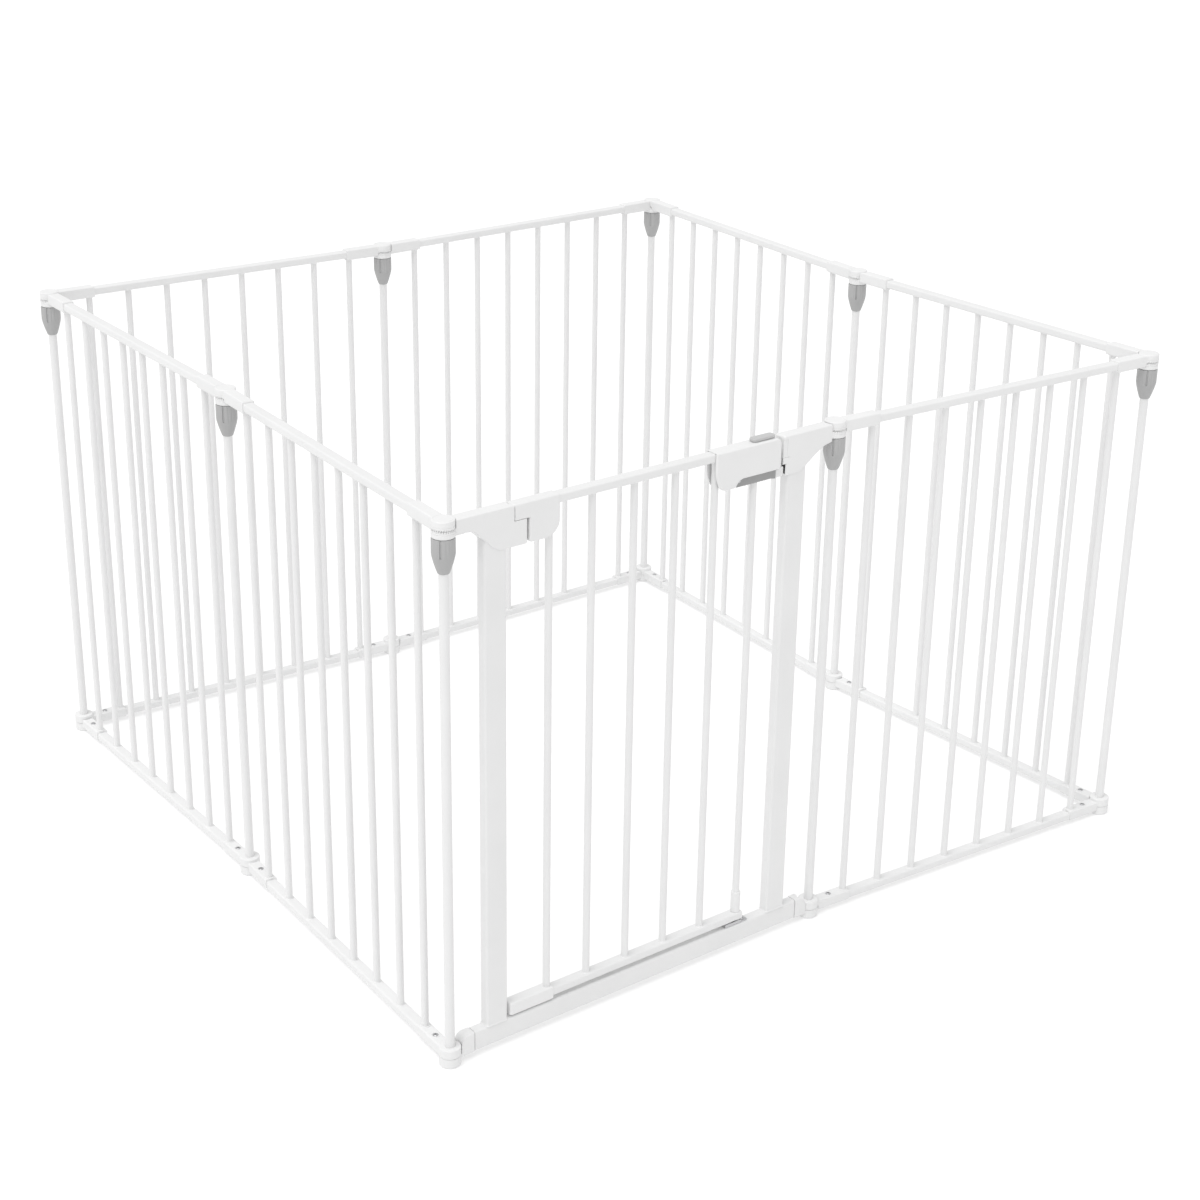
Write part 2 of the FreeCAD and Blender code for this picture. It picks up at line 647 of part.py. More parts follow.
def door_frame(placement):
    """Two rails and six bars, welded."""
    outer, inner = square_tube("door_upper_rail", ("door_top_start", "door_top_end"), "rail_half",
                               ("door_top_low", "door_top_high"), "rail_wall")
    rails = [cut("door_upper_rail", outer, inner)]
    outer, inner = square_tube("door_lower_rail", ("door_foot_start", "door_foot_end"), "rail_half",
                               ("door_rail_low", "door_rail_high"), "rail_wall")
    pin_hole = rod("door_foot_pin_hole", "foot_pin_radius", ("door_rail_low", "door_rail_high"), "last_bar")
    rails.append(cut("door_lower_rail", outer, inner, pin_hole))
    bars = [tube(f"door_bar_{index + 1}", "bar_radius", "bar_inner", ("door_rail_high", "door_top_low"),
                 f"door_bar_first + {index} * door_bar_pitch") for index in range(DOOR_BAR_COUNT)]
    node("door_frame", placement, *rails, *bars)


def door_hinge_cover(placement):
    """The moulded cover at the door's top corner, with the upper knuckle that turns on the hinge pin."""
    split = "knuckle_split + knuckle_gap"
    corners = (("hinge_x - knuckle_reach", split), ("hinge_x + knuckle_reach", split),
               ("hinge_x + knuckle_reach", "bracket_base"), ("cover_end", "bracket_base"),
               ("cover_end", "bracket_top"), ("hinge_x - knuckle_reach", "bracket_top"))
    blank = plate("door_cover_blank", corners, "cover_half",
                  rounded=(("cover_end", "bracket_base", "cover_corner"),))
    knuckle = rounded_end("door_cover_knuckle", ("hinge_x - knuckle_reach - 1", "hinge_x"),
                          (split, "bracket_top + 1"), "cover_half")
    rail_room = box("door_cover_rail_room", ("door_top_start", "cover_end + 1"), ("-rail_half", "rail_half"),
                    ("door_top_low", "door_top_high"))
    bar_room = rod("door_cover_bar_room", "bar_radius", ("bracket_base - 1", "door_top_low"), "door_bar_first")
    pin_room = rod("door_cover_pin_room", "hinge_pin_radius + running_fit", (split, "764.5"), "hinge_x")
    screw_room = cross_rod("door_cover_screw_room", "screw_radius", "143", ("cover_half - screw_depth", "cover_half"),
                           "730")
    node("door_hinge_cover", placement,
         cut("door_cover", blank, knuckle, rail_room, bar_room, pin_room, screw_room))


def door_hinge_shoe(placement):
    """The moulded shoe at the door's bottom corner, and the pin that it turns on."""
    block = box("shoe_block", ("shoe_start", "shoe_end"), ("-arm_half", "arm_half"), ("shoe_base", "shoe_top"))
    rail_room = box("shoe_rail_room", ("door_foot_start", "shoe_end + 1"), ("-rail_half", "rail_half"),
                    ("door_rail_low", "door_rail_high"))
    bar_room = rod("shoe_bar_room", "bar_radius", ("door_rail_high", "shoe_top + 1"), "door_bar_first")
    pin_room = rod("shoe_pin_room", "hinge_pin_radius", ("shoe_base - 1", "55"), "hinge_x")
    node("door_hinge_shoe", placement, cut("shoe", block, rail_room, bar_room, pin_room))
    node("lower_hinge_pin", placement, rod("lower_pin", "hinge_pin_radius", ("33", "55"), "hinge_x"))


def door_foot_pin(placement):
    """The sleeve round the last bar's foot, with the pin below the rail that meets the sill stop."""
    sleeve = rod("foot_sleeve", "sleeve_radius", ("door_rail_high", "sleeve_top"), "last_bar")
    bar_room = rod("foot_sleeve_room", "bar_radius", ("door_rail_high", "sleeve_top"), "last_bar")
    pin = rod("foot_pin", "foot_pin_radius", ("foot_pin_base", "door_rail_high + 0.5"), "last_bar")
    bar_wall = cut("foot_pin_rest", rod("foot_rest_outer", "foot_pin_radius", ("door_rail_high", "door_rail_high + 1"),
                                        "last_bar"),
                   rod("foot_rest_inner", "foot_pin_radius - 1", ("door_rail_high", "door_rail_high + 1"), "last_bar"))
    node("door_foot_pin", placement, cut("foot_sleeve_tube", sleeve, bar_room), cut("foot_pin_body", pin, bar_wall))


# ---- latch ------------------------------------------------------------------------------------

def housing_half(name, side):
    """One moulded half of the latch housing, in front of the centre plane or behind it."""
    corners = (("housing_start", "lobe_base"), ("lobe_end", "lobe_base"), ("463", "721"), ("469", "housing_base"),
               ("housing_end", "housing_base"), ("housing_end", "housing_top"), ("housing_start", "housing_top"))
    blank = plate(name + "_blank", corners, "housing_half", side,
                  rounded=(("housing_start", "lobe_base", "4"), ("housing_end", "housing_top", "9")))
    wide = ("housing_wall - housing_half", "housing_half - housing_wall")
    chamber = box(name + "_chamber", ("chamber_start", "chamber_end"), wide, ("housing_base - 12", "chamber_top"))
    hook_room = box(name + "_hook_room", ("chamber_end - 1", "housing_end + 1"), ("-hook_half - 1", "hook_half + 1"),
                    ("housing_base - 1", "hook_top + 10"))
    rail_room = box(name + "_rail_room", ("housing_start - 1", "door_top_end"), ("-rail_half", "rail_half"),
                    ("door_top_low", "door_top_high"))
    button_room = box(name + "_button_room",
                      ("button_stem_start - button_travel - 0.5", "button_stem_end + 0.5"),
                      ("-3.5", "3.5"), ("chamber_top - 1", "housing_top + 1"))
    bars = [rod(f"{name}_bar_room_{number}", "bar_radius", ("lobe_base - 1", "door_top_low"), x)
            for number, x in enumerate(("last_bar - door_bar_pitch", "last_bar"))]
    pin_room = cross_rod(name + "_pin_room", "screw_radius", "lever_pivot_x",
                         ("pin_inset - housing_half", "housing_half - pin_inset"), "lever_pivot_z")
    return cut(name, blank, chamber, hook_room, rail_room, button_room, *bars, pin_room)


def latch(placement):
    """The latch at the door's free corner: housing, lever, hook, pin, spring and slide button."""
    node("latch_housing_front", placement, housing_half("housing_front", -1))
    node("latch_housing_back", placement, housing_half("housing_back", 1))
    lever_corners = (("lever_pivot_x - 2.5", "lever_base"), ("lever_end - 9", "lever_base"),
                     ("lever_end", "lever_base - 1.7"), ("lever_end", "lever_top"),
                     ("lever_pivot_x + 2", "lever_top"), ("lever_pivot_x - lever_boss", "lever_pivot_z + 1"),
                     ("lever_pivot_x - lever_boss", "lever_pivot_z - 2"))
    lever_blank = plate("lever_blank", lever_corners, "lever_half")
    bar_slot = box("lever_bar_slot", ("last_bar - bar_radius - 2", "last_bar + bar_radius + 2"),
                   ("-bar_radius - 0.6", "bar_radius + 0.6"), ("lever_base - 1", "lever_top + 1"))
    pin_room = cross_rod("lever_pin_room", "screw_radius + running_fit", "lever_pivot_x",
                         ("-lever_half - 1", "lever_half + 1"), "lever_pivot_z")
    spring_seat = rod("lever_spring_seat", "4.2", ("lever_top - 3", "lever_top + 1"), "spring_at")
    hook_seat = box("lever_hook_seat", ("lever_end - 6", "lever_end + 1"), ("-hook_half", "hook_half"),
                    ("hook_base", "hook_top"))
    node("latch_squeeze_lever", placement, cut("lever", lever_blank, bar_slot, pin_room, spring_seat, hook_seat))
    node("latch_hook", placement, box("hook", ("lever_end - 6", "hook_end"), ("-hook_half", "hook_half"),
                                      ("hook_base", "hook_top")))
    node("latch_lever_pin", placement,
         cross_rod("lever_pin", "screw_radius", "lever_pivot_x",
                   ("pin_inset - housing_half", "housing_half - pin_inset"), "lever_pivot_z"))
    cap = box("button_cap", ("button_start", "button_end"), ("-button_half", "button_half"),
              ("housing_top + 0.3", "housing_top + button_rise"))
    stem = box("button_stem", ("button_stem_start", "button_stem_end"), ("-3", "3"),
               ("chamber_top - 4", "housing_top + 1"))
    node("latch_slide_button", placement, fuse("slide_button", cap, stem))
    latch_spring(placement)


def latch_spring(placement):
    """The compression spring that pushes the lever down. A coil has no primitive of its own."""
    wire_radius = 0.5
    coil_radius = 3.2
    base = measure("lever_top - 3") + wire_radius
    height = measure("chamber_top") - wire_radius - base
    helix = Part.makeHelix(height / 6, height, coil_radius)
    section = Part.Wire(Part.makeCircle(wire_radius, FreeCAD.Vector(coil_radius, 0, 0), FreeCAD.Vector(0, 1, 0)))
    coil = Part.Wire(helix.Edges).makePipeShell([section], True, True)
    spring = doc.addObject("Part::Feature", "spring")
    spring.Shape = coil
    spring.Placement.Base = FreeCAD.Vector(SIZES["spring_at"], 0, base)
    node("latch_spring", placement, spring)


def door_screws(placement):
    """The screws that hold the hinge cover and the two halves of the latch housing."""
    screws = [back_screw("door_screw_cover", "143", "730", "cover_half")]
    node("door_screws", placement, *screws)


def door(placement):
    """Everything that swings with the door."""
    door_frame(placement)
    door_hinge_cover(placement)
    door_hinge_shoe(placement)
    door_foot_pin(placement)
    latch(placement)
    door_screws(placement)


# ---- assembly, checks and export --------------------------------------------------------------

def check_document():
    """Stop if any object failed or any shape is empty or invalid."""
    for item in doc.Objects:
        if "Invalid" in item.State or "Error" in item.State:
            raise RuntimeError(f"{item.Name} failed: {item.State}")
        shape = getattr(item, "Shape", None)
        if item in nodes and (shape is None or shape.isNull() or not shape.isValid()):
            raise RuntimeError(f"{item.Name} has no valid shape")


def build():
    """Build the whole pen and write one STEP file for each sub-part."""
    placements, posts = lay_out()
    gate_panel(placements[0])
    door(placements[0])
    for number in range(2, PANEL_COUNT + 1):
        barred_panel(number, placements[number - 1])
    for number, place in enumerate(posts, start=1):
        lock_collar(number, place)
    doc.recompute()
    check_document()
    for item in nodes:
        item.Shape.exportStep(f"parts/{item.Label}.step")


build()
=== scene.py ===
import json
import math
import bpy
import bmesh
from mathutils import Matrix, Vector


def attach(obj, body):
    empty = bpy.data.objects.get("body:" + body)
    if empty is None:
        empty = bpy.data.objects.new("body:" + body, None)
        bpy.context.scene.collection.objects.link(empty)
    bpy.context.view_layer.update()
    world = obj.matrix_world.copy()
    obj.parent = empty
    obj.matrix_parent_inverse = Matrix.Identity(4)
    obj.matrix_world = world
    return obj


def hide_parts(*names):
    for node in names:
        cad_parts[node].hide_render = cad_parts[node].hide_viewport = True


# An eight-panel white playpen with a gate. Sizes are in millimetres in each panel's own frame:
# +X runs from its first post axis to its second, +Y into the pen, and Z = 0 is the floor. MM turns
# them into metres. A piece has the place and the size of the CAD node that it stands for.

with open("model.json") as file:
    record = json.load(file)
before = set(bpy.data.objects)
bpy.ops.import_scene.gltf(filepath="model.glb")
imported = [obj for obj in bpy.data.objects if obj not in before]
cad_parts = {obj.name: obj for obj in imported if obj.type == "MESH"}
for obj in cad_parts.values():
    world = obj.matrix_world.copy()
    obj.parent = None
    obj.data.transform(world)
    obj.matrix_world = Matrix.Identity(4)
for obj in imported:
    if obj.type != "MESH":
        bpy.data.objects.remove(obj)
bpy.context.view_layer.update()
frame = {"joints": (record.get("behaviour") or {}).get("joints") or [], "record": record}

MM = 0.001
SHARP = math.radians(38)  # an edge that turns further than this is shaded sharp
SAME_POINT = 0.002        # points nearer than this are merged
STILL = Matrix.Identity(4)

# Heights
STACK_LOW, STACK_HIGH = 15.0, 757.6  # the planes on which two hinge ends meet, foot and top
LOW_RAIL, HIGH_RAIL = (8.0, 20.0), (755.0, 767.0)
DOOR_RAIL = (45.5, 57.5)
SILL = (9.0, 39.0)
POST_FOOT, POST_HEAD = 4.0, 765.6

# Radii and half depths
HUB, POST, BAR = 15.0, 6.5, 5.0
RAIL_HALF, JAMB_HALF, ARM_HALF = 8.0, 8.0, 9.0

# Places along a panel
RAIL_START, SILL_START = 26.0, 35.0  # from the post axis to a tube's end
SCREW_AT = 38.0
BARS = [65.5 + 67.0 * index for index in range(8)]
DOOR_BARS = [157.5 + 67.5 * index for index in range(6)]
HINGE = 109.0
JAMBS = ((54.5, 88.0), (549.0, 582.5))

# An outline in (x, z), its high face out of the pen
FRONTAL = Matrix.Rotation(math.pi / 2, 4, "X")
# An outline in (y, z), extruded along X
ALONG = Matrix.Rotation(math.pi / 2, 4, "Y") @ Matrix.Rotation(math.pi / 2, 4, "Z")
# A turned piece that points into the pen
INWARD = Matrix.Rotation(-math.pi / 2, 4, "X")


def at(x, y=0.0, z=0.0):
    """A move to a place."""
    return Matrix.Translation((x, y, z))


def turned(degrees):
    """A turn round the upright axis."""
    return Matrix.Rotation(math.radians(degrees), 4, "Z")


# ---- outlines ---------------------------------------------------------------------------------
# An outline is a closed anticlockwise list of corners (x, y, radius). inset() moves it inwards and
# rounds it, with the same number of points at every depth.

CORNER_STEPS, FINE_STEPS = 6, 8  # round a corner, and round one that is seen close up
EDGE_STEPS = 4
FILLET_SHARE = 0.49  # a fillet takes at most this much of each side next to it
MITRE_LIMIT = 0.3    # keeps the point of a very sharp corner from running away


def fillet(corners, counts):
    """The points of an outline. Each corner has its own number of points, at one spot if sharp."""
    points = []
    for index, (x, y, radius) in enumerate(corners):
        here = Vector((x, y))
        if radius <= 0:
            points.extend([here] * counts[index])
            continue
        before = Vector(corners[index - 1][:2]) - here
        after = Vector(corners[(index + 1) % len(corners)][:2]) - here
        half = before.angle(after) / 2
        reach = min(radius / math.tan(half), FILLET_SHARE * before.length,
                    FILLET_SHARE * after.length)
        radius = reach * math.tan(half)
        back, ahead = before.normalized(), after.normalized()
        start, end = here + back * reach, here + ahead * reach
        centre = here + (back + ahead).normalized() * (radius / math.sin(half))
        first, last = start - centre, end - centre
        sweep = first.angle_signed(last)
        for step in range(counts[index]):
            angle = -sweep * step / (counts[index] - 1)
            cosine, sine = math.cos(angle), math.sin(angle)
            points.append(centre + Vector((first.x * cosine - first.y * sine,
                                           first.x * sine + first.y * cosine)))
    return points


def inset(corners, depth, steps=CORNER_STEPS):
    """The points of an outline that has been moved inwards."""
    moved = []
    for index, (x, y, radius) in enumerate(corners):
        here = Vector((x, y))
        back = (here - Vector(corners[index - 1][:2])).normalized()
        ahead = (Vector(corners[(index + 1) % len(corners)][:2]) - here).normalized()
        first, second = Vector((-back.y, back.x)), Vector((-ahead.y, ahead.x))
        shift = here + (first + second) * (depth / max(MITRE_LIMIT, 1 + first.dot(second)))
        bends_out = back.x * ahead.y - back.y * ahead.x > 0
        if radius <= 0:
            inner = 0.0
        elif bends_out:
            inner = max(0.0, radius - depth)
        else:
            inner = radius + depth
        moved.append((shift.x, shift.y, inner))
    return fillet(moved, [steps + 1 if corner[2] > 0 else 1 for corner in corners])


def arc(centre, radius, start, end, steps):
    """Sharp corners along an arc, in degrees."""
    angles = [math.radians(start + (end - start) * step / steps) for step in range(steps + 1)]
    return [(centre[0] + radius * math.cos(a), centre[1] + radius * math.sin(a), 0)
            for a in angles]


def box_outline(left, low, right, high, radius=0.0):
    """A rectangle whose corners have one radius."""
    return [(left, low, radius), (right, low, radius), (right, high, radius),
            (left, high, radius)]


# ---- solids as stacks of rings ----------------------------------------------------------------

PIN_SIDES, SMALL_SIDES, POST_SIDES, HUB_SIDES = 24, 32, 40, 72  # of turned pieces, by size

def edge_levels(low, high, low_edge, high_edge):
    """(inset, height) pairs up the side of a plate, round its lower edge and its upper one."""
    def turn(radius):
        if radius <= 0:
            return [(0.0, 0.0)]
        angles = [math.pi / 2 * step / EDGE_STEPS for step in range(EDGE_STEPS + 1)]
        return [(radius * (1 - math.sin(a)), radius * (1 - math.cos(a))) for a in angles]

    levels = [(depth, low + rise) for depth, rise in turn(low_edge)]
    return levels + [(depth, high - rise) for depth, rise in reversed(turn(high_edge))]


def slab(corners, low, high, low_edge=0.0, high_edge=0.0, steps=CORNER_STEPS):
    """A plate between two heights. Its edges have their own radii."""
    return [[(*point, z) for point in inset(corners, depth, steps)]
            for depth, z in edge_levels(low, high, low_edge, high_edge)]


def lathe(profile, segments, shape=None):
    """A turned solid. shape(radius, z, index) may change the radius round the ring."""
    rings = []
    for radius, z in profile:
        ring = []
        for index in range(segments):
            turn = 2 * math.pi * index / segments
            reach = shape(radius, z, index) if shape else radius
            ring.append((reach * math.cos(turn), reach * math.sin(turn), z))
        rings.append(ring)
    return rings


class Model:
    """Faces gathered in a panel's frame, in millimetres."""

    def __init__(self, rings=None, place=STILL):
        self.points = []
        self.faces = []
        if rings:
            self.add(rings, place)

    def add(self, rings, place=STILL):
        """Skin a stack of rings and close both ends."""
        base, count = len(self.points), len(rings[0])
        for ring in rings:
            self.points.extend(place @ Vector(point) for point in ring)
        for level in range(len(rings) - 1):
            start = base + level * count
            for index in range(count):
                after = (index + 1) % count
                self.faces.append((start + index, start + after,
                                   start + count + after, start + count + index))
        self.faces.append(tuple(reversed(range(base, base + count))))
        end = base + (len(rings) - 1) * count
        self.faces.append(tuple(range(end, end + count)))

    def merge(self, other, place=STILL):
        """Take over another model's faces."""
        base = len(self.points)
        self.points.extend(place @ point for point in other.points)
        self.faces.extend(tuple(base + index for index in face) for face in other.faces)

    def mesh(self, name, place=STILL):
        """A Blender mesh in metres, its faces turned outwards and smooth up to the sharp angle."""
        mesh = bpy.data.meshes.new(name)
        mesh.from_pydata([(place @ point) * MM for point in self.points], [], self.faces)
        made = bmesh.new()
        made.from_mesh(mesh)
        bmesh.ops.remove_doubles(made, verts=made.verts, dist=SAME_POINT * MM)
        bmesh.ops.recalc_face_normals(made, faces=made.faces)
        made.to_mesh(mesh)
        made.free()
        mesh.shade_smooth()
        mesh.set_sharp_from_angle(angle=SHARP)
        return mesh


def combined(operation, *models):
    """The union of models, or the first one with the others taken away."""
    result = models[0]
    for other in models[1:]:
        pieces = []
        for part in (result, other):
            item = bpy.data.objects.new("part", part.mesh("part"))
            bpy.context.scene.collection.objects.link(item)
            pieces.append(item)
        body, tool = pieces
        change = body.modifiers.new("combine", "BOOLEAN")
        change.operation = operation
        change.solver = "EXACT"
        change.object = tool
        bpy.context.view_layer.update()
        graph = bpy.context.evaluated_depsgraph_get()
        mesh = bpy.data.meshes.new_from_object(body.evaluated_get(graph))
        result = Model()
        result.points = [vertex.co / MM for vertex in mesh.vertices]
        result.faces = [tuple(face.vertices) for face in mesh.polygons]
        for item in pieces:
            bpy.data.objects.remove(item)
    return result


def fused(*models):
    return combined("UNION", *models)


def carved(*models):
    return combined("DIFFERENCE", *models)


# ---- materials --------------------------------------------------------------------------------

CLOUD_SCALE, CLOUD_DETAIL = 14.0, 3.0  # of the colour's slow variation
GLOSS_SCALE, GLOSS_DETAIL = 45.0, 2.0  # of the gloss's variation
GLOSS_SPREAD = 0.05
CLOUD_ENDS = (0.3, 0.7)  # of the noise, where the colour stops changing
GRAIN_DETAIL = 2.0
GRAIN_HEIGHT = 0.001
COAT_ROUGHNESS = 0.25


def surface(name, shade, roughness, grain, bump, spread=0.015, metallic=0.0, coat=0.0):
    """A finish with slight colour and gloss variation and a fine surface grain."""
    material = bpy.data.materials.new(name)
    material.use_nodes = True
    nodes, links = material.node_tree.nodes, material.node_tree.links
    shader = nodes["Principled BSDF"]
    shader.inputs["Metallic"].default_value = metallic
    shader.inputs["Coat Weight"].default_value = coat
    shader.inputs["Coat Roughness"].default_value = COAT_ROUGHNESS
    place = nodes.new("ShaderNodeTexCoord")

    def noise(scale, detail):
        item = nodes.new("ShaderNodeTexNoise")
        item.inputs["Scale"].default_value = scale
        item.inputs["Detail"].default_value = detail
        links.new(place.outputs["Object"], item.inputs["Vector"])
        return item.outputs["Fac"]

    ramp = nodes.new("ShaderNodeValToRGB")
    for element, end, shift in zip(ramp.color_ramp.elements, CLOUD_ENDS, (-spread, spread)):
        element.position = end
        element.color = (*(min(1.0, channel * (1 + shift)) for channel in shade), 1.0)
    links.new(noise(CLOUD_SCALE, CLOUD_DETAIL), ramp.inputs["Fac"])
    links.new(ramp.outputs["Color"], shader.inputs["Base Color"])
    gloss = nodes.new("ShaderNodeMapRange")
    gloss.inputs["To Min"].default_value = roughness - GLOSS_SPREAD
    gloss.inputs["To Max"].default_value = roughness + GLOSS_SPREAD
    links.new(noise(GLOSS_SCALE, GLOSS_DETAIL), gloss.inputs["Value"])
    links.new(gloss.outputs["Result"], shader.inputs["Roughness"])
    relief = nodes.new("ShaderNodeBump")
    relief.inputs["Strength"].default_value = bump
    relief.inputs["Distance"].default_value = GRAIN_HEIGHT
    links.new(noise(grain, GRAIN_DETAIL), relief.inputs["Height"])
    links.new(relief.outputs["Normal"], shader.inputs["Normal"])
    return material


def moulding(name, grey, roughness, bump=0.12, spread=0.04):
    """A moulded plastic of one grey, with a very fine grain."""
    return surface(name, (grey, grey, grey), roughness, grain=2400.0, bump=bump, spread=spread)


FINISHES = {
    "white_coated_steel": surface("powder_coat", (0.76, 0.76, 0.76), 0.36,
                                  grain=700.0, bump=0.10, coat=0.12),
    "white_plastic": moulding("white_moulding", 0.77, 0.45, bump=0.08, spread=0.015),
    "collar_grey_plastic": moulding("grey_moulding", 0.40, 0.42),
    "dark_grey_plastic": moulding("dark_moulding", 0.30, 0.45),
    "zinc_steel": surface("zinc_plate", (0.56, 0.56, 0.57), 0.32,
                          grain=1500.0, bump=0.10, spread=0.06, metallic=1.0),
}


def show(node, model, place, finish=None):
    """Put a detailed piece in the place of a CAD node, on the same body and with the same slot."""
    record = frame["record"]
    slot = next(part["material_slot"] for part in record["subparts"] if part["node"] == node)
    bodies = record["behaviour"]["bodies"]
    body = next(name for name, members in bodies.items() if node in members)
    item = bpy.data.objects.new("visible_" + node, model.mesh("visible_" + node, place))
    bpy.context.scene.collection.objects.link(item)
    item.data.materials.append(finish or FINISHES[slot])
    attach(item, body)
    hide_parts(node)
    even = item.modifiers.new("even_shading", "WEIGHTED_NORMAL")
    even.keep_sharp = True


# ---- tubes, bars and posts --------------------------------------------------------------------

TUBE_RADIUS = 2.6
POST_BEVEL = 0.8
# A weld's flare, as (how much wider than the bar, how far from the rail)
WELD = [(0.9, -0.6), (0.9, 0.0), (0.378, 0.5), (0.108, 1.2), (0.0, 2.4)]


def rail(model, start, end, span, radius=TUBE_RADIUS, edge=0.0):
    """A rectangular tube with rounded corners along X."""
    low, high = span
    section = box_outline(-RAIL_HALF, low, RAIL_HALF, high, radius)
    model.add(slab(section, start, end, edge, edge), ALONG)


def bars(model, places, low, high):
    """Round bars whose ends flare into the rails as a coated weld does."""
    profile = [(BAR + wider, low + rise) for wider, rise in WELD]
    profile += [(BAR + wider, high - rise) for wider, rise in reversed(WELD)]
    for x in places:
        model.add(lathe(profile, SMALL_SIDES), at(x))


def post_pair(node, place, pitch):
    """The hinge posts at both ends of a panel, with softened ends."""
    profile = [(POST - POST_BEVEL, POST_FOOT), (POST, POST_FOOT + POST_BEVEL),
               (POST, POST_HEAD - POST_BEVEL), (POST - POST_BEVEL, POST_HEAD)]
    pair = Model()
    for x in (0.0, pitch):
        pair.add(lathe(profile, POST_SIDES), at(x))
    show(node, pair, place)


# ---- hinge ends -------------------------------------------------------------------------------
# A hinge end is a hub and an arm. In its own frame the hub's axis is at x = 0, and the split plane,
# on which it meets its neighbour, at z = 0. A closed hub is below the plane and an open one above.
# `upper` is False at the foot and True at the top, and picks one of a pair of sizes.

TEETH, TOOTH_STEPS, NOTCH_STEPS = 30, 5, 2
TOOTH_DEPTH, TOOTH_BAND, BAND_SLACK = 1.3, (0.2, 2.4), 0.01
HUB_BORE_SIDE = 13.0  # only the hub's outside, beyond this radius, has teeth
OPEN_HUBS = (13.0, 10.6)  # heights of the open hubs above the plane
ARM_UNDER, ARM_OVER = (8.0, 11.9), (8.0, 5.6)  # an arm's faces below and above the plane
ARM_REACH, ARM_EDGE, ARM_GAP = 72.3, 2.2, 0.3
NECK_FILLET, NECK_STEPS = 3.0, 4
NECK_ROOT = 8.0  # half the width of the neck's end inside the hub
HOLLOW_STEPS = 12
OVERLAP = 0.1  # how far parts that are to be fused run into each other
HUB_CLEAR = 15.7  # radius of the hollow round a hub that turns


def toothed(low, high):
    """A radius change that cuts a row of small teeth between two heights."""
    def shape(radius, z, index):
        in_band = low - BAND_SLACK <= z <= high + BAND_SLACK and radius > HUB_BORE_SIDE
        notch = in_band and index % TOOTH_STEPS < NOTCH_STEPS
        return radius - TOOTH_DEPTH if notch else radius
    return shape


def hub(closed, upper, place=STILL):
    """The hub of a hinge end."""
    if upper:
        profile = [(6.0, 0.2), (14.4, 0.2), (15.0, 0.7), (15.0, 2.4), (15.0, 2.41), (15.0, 4.0),
                   (14.6, 4.3), (14.6, 4.7), (15.0, 5.0)]
    else:
        profile = [(6.0, 0.2), (14.8, 0.2), (15.0, 0.35), (15.0, 2.4)]
    if closed and upper:
        profile += [(15.0, 10.9), (14.8, 11.7), (14.2, 12.3), (13.5, 12.4), (12.7, 12.4),
                    (12.5, 12.1), (12.1, 12.1), (11.9, 12.4), (5.0, 12.4)]
    elif closed:
        profile += [(15.0, 12.3), (14.7, 13.4), (13.9, 14.4), (12.5, 15.0), (12.0, 15.0)]
    else:
        tall = OPEN_HUBS[upper]
        profile += [(15.0, tall - 1.4), (14.6, tall - 0.5), (13.8, tall), (8.0, tall),
                    (7.2, tall - 0.3), (6.0, tall - 0.4)]
    sign = -1 if closed else 1
    profile = [(radius, sign * z) for radius, z in profile]
    if not upper:
        return Model(lathe(profile, HUB_SIDES), place)
    low, high = sorted(sign * z for z in TOOTH_BAND)
    return Model(lathe(profile, TEETH * TOOTH_STEPS, toothed(low, high)), place)


def neck_outline(reach, half):
    """The outline of an arm that grows out of its hub through small fillets."""
    side = half + NECK_FILLET
    middle = math.sqrt((HUB + NECK_FILLET) ** 2 - side ** 2)
    turn = math.degrees(math.atan2(side, middle))
    lower = arc((middle, -side), NECK_FILLET, 180 - turn, 90, NECK_STEPS)
    upper = arc((middle, side), NECK_FILLET, 270, 180 + turn, NECK_STEPS)
    ends = [(reach, -half, 0), (reach, half, 0)]
    return lower + ends + upper + [(0, NECK_ROOT, 0), (0, -NECK_ROOT, 0)]


def hollow_slab(radius, reach, half, low, high, edge):
    """A plate along X whose near end is hollow round a turning part, with rounded edges."""
    rings = []
    for depth, z in edge_levels(low, high, edge, edge):
        side = half - depth
        turn = math.degrees(math.asin(side / (radius + depth)))
        ring = arc((0, 0), radius + depth, turn, -turn, HOLLOW_STEPS)
        ring += [(reach - depth, -side, 0), (reach - depth, side, 0)]
        rings.append([(x, y, z) for x, y, _ in ring])
    return rings


def arm(closed, upper):
    """An arm on both sides of the plane: grown out of its hub on one, hollow on the other."""
    under, over = ARM_UNDER[upper], ARM_OVER[upper]
    clear = hollow_slab(HUB_CLEAR, ARM_REACH, ARM_HALF, -under, over, ARM_EDGE)
    neck = neck_outline(30.0, ARM_HALF - OVERLAP)
    if closed:
        stub = slab(neck, OVERLAP - under, -ARM_GAP, low_edge=ARM_EDGE)
    else:
        stub = slab(neck, ARM_GAP, over - OVERLAP, high_edge=ARM_EDGE)
    return Model(stub), Model(clear)


def hinge_end(closed, upper):
    """A moulded hinge end with its rail socket, a screw boss and a rim round the first bar."""
    body = fused(*arm(closed, upper), hub(closed, upper))
    face = ARM_OVER[upper]
    boss = [(6.4, -1.0), (6.4, 0.1), (6.0, 0.6), (5.2, 0.6), (4.7, 0.1), (4.7, -1.0)]
    body.add(lathe(boss, SMALL_SIDES), at(SCREW_AT, z=face))
    rim = [(7.4, -1.0), (7.4, 0.0), (6.9, 0.7), (5.4, 0.9), (4.5, 0.9)]
    body.add(lathe(rim, SMALL_SIDES), at(BARS[0], z=face))
    return body


